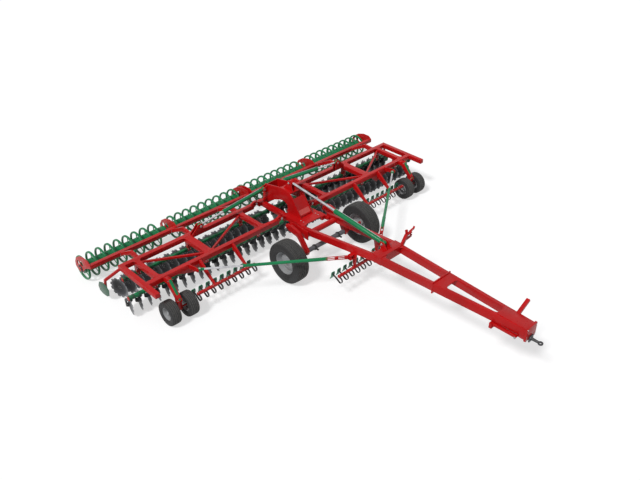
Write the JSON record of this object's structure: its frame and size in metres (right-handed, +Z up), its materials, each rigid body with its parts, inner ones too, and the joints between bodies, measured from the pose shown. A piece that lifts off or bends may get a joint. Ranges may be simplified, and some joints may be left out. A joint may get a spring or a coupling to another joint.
{
  "type": "disc harrow",
  "caption": "Trailed folding disc harrow with two rows of hollow discs, ring rollers, spring paddle boards, gauge wheels, transport wheels and a long drawbar.",
  "frame": {"origin": "On the ground under the middle of the outer box.", "axes": "+Z is up, the drawbar points to -Y, +X is the machine's left side."},
  "size_m": [10.16, 10.245, 1.835],
  "materials": {
    "red_paint": "gloss",
    "green_paint": "gloss",
    "grey_paint": "satin",
    "disc_steel": "satin",
    "spring_steel": "satin",
    "cast_arm": "satin",
    "rod_chrome": "polished",
    "eye_steel": "satin",
    "tyre_rubber": "matte"
  },
  "bodies": {
    "chassis": {"drawbar": "red_paint", "towing_eye": "eye_steel", "mid_board_bar": "red_paint", "mid_board_springs": "spring_steel", "mid_board_paddles": "green_paint"},
    "stand": {"parking_stand": "red_paint"},
    "axle": {"axle_arms": "red_paint"},
    "centre": {"centre_frame": "red_paint", "tower": "red_paint"},
    "tilt_cylinder": {"tilt_barrel": "green_paint"},
    "tilt_piston": {"tilt_rod": "rod_chrome"},
    "wing_left": {"wing_frame_left": "red_paint", "tool_bars_left": "green_paint", "disc_arms_left": "cast_arm", "discs_left": "disc_steel", "board_bar_left": "red_paint", "board_springs_left": "spring_steel", "board_paddles_left": "green_paint", "roller_frame_left": "red_paint", "gauge_arm_left": "red_paint", "deflector_plate_left": "green_paint"},
    "wheel_left": {"transport_tyre_left": "tyre_rubber", "transport_rim_left": "grey_paint"},
    "inner_roller_left": {"roller_inner_left": "green_paint"},
    "outer_roller_left": {"roller_outer_left": "green_paint"},
    "gauge_pair_left": {"gauge_tyres_left": "tyre_rubber", "gauge_rims_left": "grey_paint"},
    "fold_cylinder_left": {"fold_barrel_left": "green_paint"},
    "fold_piston_left": {"fold_rod_left": "rod_chrome"},
    "knuckle_left": {"strut_knuckle_left": "red_paint"},
    "strut_left": {"strut_tube_left": "green_paint"},
    "strut_slide_left": {"strut_rod_left": "rod_chrome"},
    "wing_right": {"wing_frame_right": "red_paint", "tool_bars_right": "green_paint", "disc_arms_right": "cast_arm", "discs_right": "disc_steel", "board_bar_right": "red_paint", "board_springs_right": "spring_steel", "board_paddles_right": "green_paint", "roller_frame_right": "red_paint", "gauge_arm_right": "red_paint", "deflector_plate_right": "green_paint"},
    "wheel_right": {"transport_tyre_right": "tyre_rubber", "transport_rim_right": "grey_paint"},
    "inner_roller_right": {"roller_inner_right": "green_paint"},
    "outer_roller_right": {"roller_outer_right": "green_paint"},
    "gauge_pair_right": {"gauge_tyres_right": "tyre_rubber", "gauge_rims_right": "grey_paint"},
    "fold_cylinder_right": {"fold_barrel_right": "green_paint"},
    "fold_piston_right": {"fold_rod_right": "rod_chrome"},
    "knuckle_right": {"strut_knuckle_right": "red_paint"},
    "strut_right": {"strut_tube_right": "green_paint"},
    "strut_slide_right": {"strut_rod_right": "rod_chrome"}
  },
  "joints": [
    {"name": "tilt", "type": "hinge", "parent": "chassis", "child": "centre", "pos_m": [0, 1.4955, 0.93], "axis": [1, 0, 0], "range_deg": [0, 75]},
    {"name": "fold_left", "type": "hinge", "parent": "centre", "child": "wing_left", "pos_m": [0.55, 2.8255, 1], "axis": [0, -1, 0], "range_deg": [0, 90]},
    {"name": "fold_right", "type": "hinge", "parent": "centre", "child": "wing_right", "pos_m": [-0.55, 2.8255, 1], "axis": [0, 1, 0], "range_deg": [0, 90]},
    {"name": "axle_lift", "type": "hinge", "parent": "chassis", "child": "axle", "pos_m": [0, 1.8255, 1.01], "axis": [1, 0, 0], "range_deg": [0, 20]},
    {"name": "stand_swing", "type": "hinge", "parent": "chassis", "child": "stand", "pos_m": [-0.225, -4.6245, 1.075], "axis": [-1, 0, 0], "range_deg": [0, 90]},
    {"name": "tilt_cylinder_swing", "type": "hinge", "parent": "chassis", "child": "tilt_cylinder", "pos_m": [0, -0.7845, 1.43], "axis": [1, 0, 0], "range_deg": [0, 15.63]},
    {"name": "tilt_cylinder_stroke", "type": "slide", "parent": "tilt_cylinder", "child": "tilt_piston", "axis": [0, 0.9946, 0.1037], "range_m": [-1.442, 0]},
    {"name": "fold_cylinder_swing_left", "type": "hinge", "parent": "centre", "child": "fold_cylinder_left", "pos_m": [0.32, 3.2255, 1.39], "axis": [0, -1, 0], "range_deg": [0, 94.23]},
    {"name": "fold_cylinder_stroke_left", "type": "slide", "parent": "fold_cylinder_left", "child": "fold_piston_left", "axis": [0.9952, 0, -0.0981], "range_m": [-0.639, 0]},
    {"name": "strut_lift_left", "type": "hinge", "parent": "chassis", "child": "knuckle_left", "pos_m": [0.445, -0.2145, 1], "axis": [1, 0, 0], "range_deg": [0, 10.5]},
    {"name": "strut_swing_left", "type": "hinge", "parent": "knuckle_left", "child": "strut_left", "pos_m": [0.53, -0.2145, 1], "axis": [0, 0, -1], "range_deg": [0, 115.67]},
    {"name": "strut_telescope_left", "type": "slide", "parent": "strut_left", "child": "strut_slide_left", "axis": [0.8073, 0.5902, 0], "range_m": [-0.9, 0]},
    {"name": "wheel_turn_left", "type": "hinge", "parent": "axle", "child": "wheel_left", "pos_m": [1.3, 1.1555, 0.56], "axis": [1, 0, 0], "continuous": true},
    {"name": "inner_roller_turn_left", "type": "hinge", "parent": "wing_left", "child": "inner_roller_left", "pos_m": [1.26, 4.7895, 0.333], "axis": [1, 0, 0], "continuous": true},
    {"name": "outer_roller_turn_left", "type": "hinge", "parent": "wing_left", "child": "outer_roller_left", "pos_m": [3.78, 4.7895, 0.333], "axis": [1, 0, 0], "continuous": true},
    {"name": "gauge_turn_left", "type": "hinge", "parent": "wing_left", "child": "gauge_pair_left", "pos_m": [4.16, 1.8105, 0.31], "axis": [1, 0, 0], "continuous": true},
    {"name": "fold_cylinder_swing_right", "type": "hinge", "parent": "centre", "child": "fold_cylinder_right", "pos_m": [-0.32, 3.2255, 1.39], "axis": [0, 1, 0], "range_deg": [0, 94.23]},
    {"name": "fold_cylinder_stroke_right", "type": "slide", "parent": "fold_cylinder_right", "child": "fold_piston_right", "axis": [-0.9952, 0, -0.0981], "range_m": [-0.639, 0]},
    {"name": "strut_lift_right", "type": "hinge", "parent": "chassis", "child": "knuckle_right", "pos_m": [-0.445, -0.2145, 1], "axis": [1, 0, 0], "range_deg": [0, 10.5]},
    {"name": "strut_swing_right", "type": "hinge", "parent": "knuckle_right", "child": "strut_right", "pos_m": [-0.53, -0.2145, 1], "axis": [0, 0, 1], "range_deg": [0, 115.67]},
    {"name": "strut_telescope_right", "type": "slide", "parent": "strut_right", "child": "strut_slide_right", "axis": [-0.8073, 0.5902, 0], "range_m": [-0.9, 0]},
    {"name": "wheel_turn_right", "type": "hinge", "parent": "axle", "child": "wheel_right", "pos_m": [-1.3, 1.1555, 0.56], "axis": [1, 0, 0], "continuous": true},
    {"name": "inner_roller_turn_right", "type": "hinge", "parent": "wing_right", "child": "inner_roller_right", "pos_m": [-1.26, 4.7895, 0.333], "axis": [1, 0, 0], "continuous": true},
    {"name": "outer_roller_turn_right", "type": "hinge", "parent": "wing_right", "child": "outer_roller_right", "pos_m": [-3.78, 4.7895, 0.333], "axis": [1, 0, 0], "continuous": true},
    {"name": "gauge_turn_right", "type": "hinge", "parent": "wing_right", "child": "gauge_pair_right", "pos_m": [-4.16, 1.8105, 0.31], "axis": [1, 0, 0], "continuous": true}
  ],
  "couplings": [
    {"joint": "tilt_cylinder_swing", "follows": "tilt", "ratio": 0.20173},
    {"joint": "tilt_cylinder_stroke", "follows": "tilt", "m_per_rad": -1.0938},
    {"joint": "fold_cylinder_swing_left", "follows": "fold_left", "ratio": 1.0415},
    {"joint": "fold_cylinder_stroke_left", "follows": "fold_left", "m_per_rad": -0.40075},
    {"joint": "strut_lift_left", "follows": "tilt", "ratio": 0.125},
    {"joint": "strut_swing_left", "follows": "fold_left", "ratio": 1.2796},
    {"joint": "strut_telescope_left", "follows": "fold_left", "m_per_rad": -0.56023},
    {"joint": "fold_cylinder_swing_right", "follows": "fold_right", "ratio": 1.0415},
    {"joint": "fold_cylinder_stroke_right", "follows": "fold_right", "m_per_rad": -0.40075},
    {"joint": "strut_lift_right", "follows": "tilt", "ratio": 0.125},
    {"joint": "strut_swing_right", "follows": "fold_right", "ratio": 1.2796},
    {"joint": "strut_telescope_right", "follows": "fold_right", "m_per_rad": -0.56023}
  ]
}
